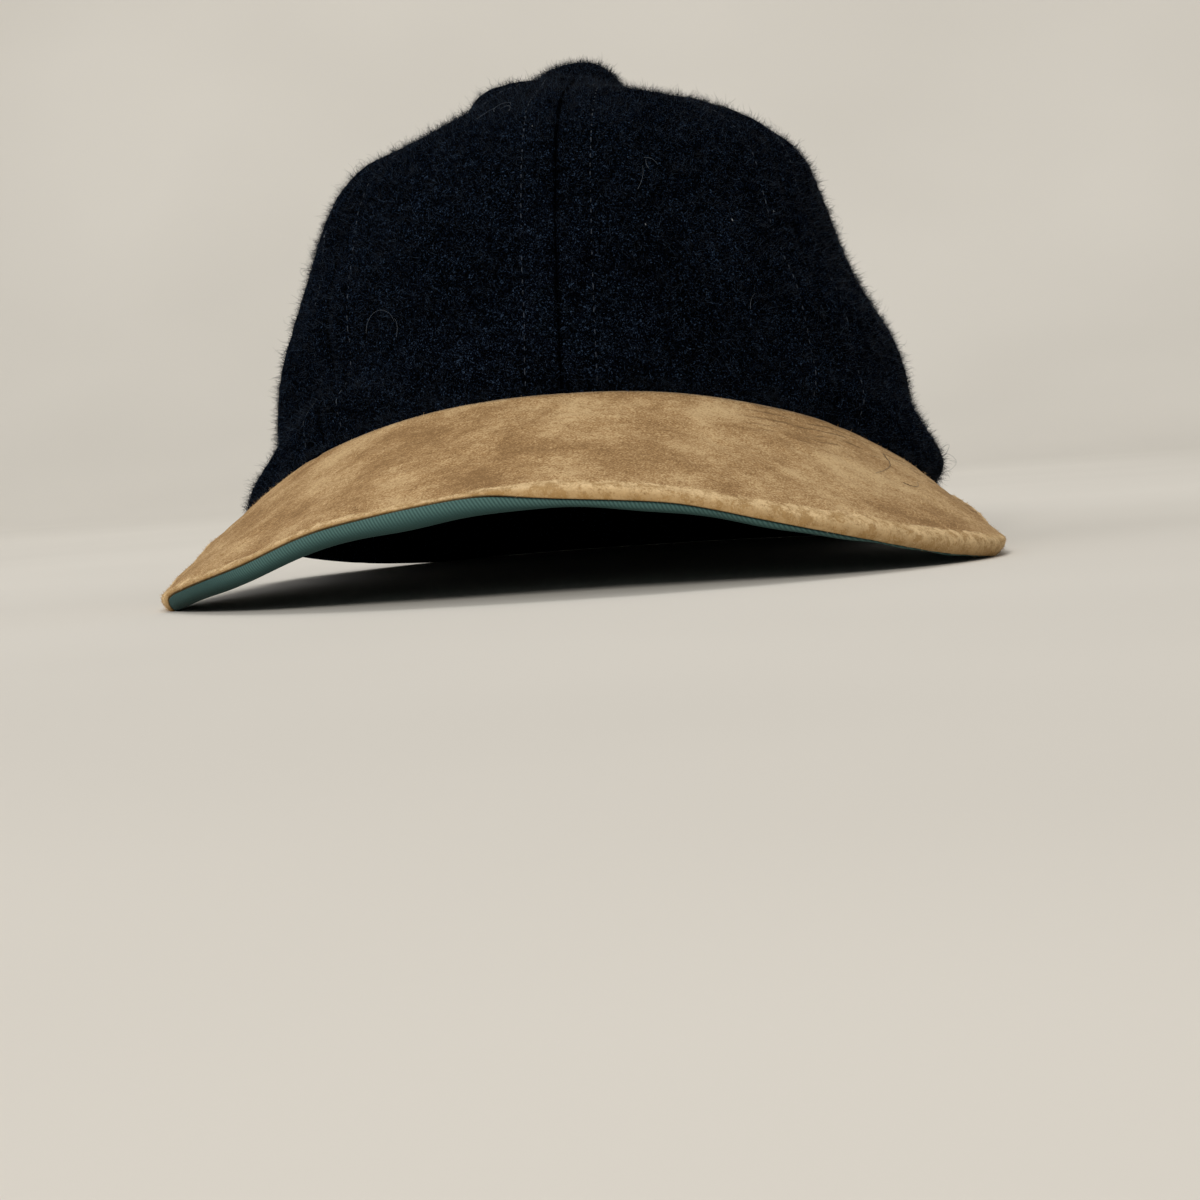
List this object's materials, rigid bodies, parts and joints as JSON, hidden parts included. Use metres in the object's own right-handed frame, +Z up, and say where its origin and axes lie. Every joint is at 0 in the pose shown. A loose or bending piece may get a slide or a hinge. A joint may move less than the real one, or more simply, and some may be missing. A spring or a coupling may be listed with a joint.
{
  "type": "wool baseball cap with suede peak",
  "caption": "Soft rounded cap of wool panels with a covered button and a curved peak, suede above and ribbed twill below. It covers the head, shades the eyes and stands by itself.",
  "frame": {"origin": "on the surface the cap stands on, under the middle of its overall box", "axes": "+Z up, the peak points along -Y, +X towards the wearer's left"},
  "size_m": [0.1824, 0.264, 0.1213],
  "materials": {
    "navy_wool": "near-black navy melton wool with a short bluish-grey nap",
    "tan_suede": "tan suede with a mottled, rubbed nap, paler along the outer edge",
    "green_twill": "matt teal-green twill with fine ribs"
  },
  "bodies": {
    "root": {"crown_panel_back_left": "navy_wool", "crown_panel_back_right": "navy_wool", "crown_panel_front_left": "navy_wool", "crown_panel_front_right": "navy_wool", "crown_panel_side_left": "navy_wool", "crown_panel_side_right": "navy_wool", "crown_button": "navy_wool", "peak_top_suede": "tan_suede", "peak_underside_twill": "green_twill"}
  },
  "joints": []
}
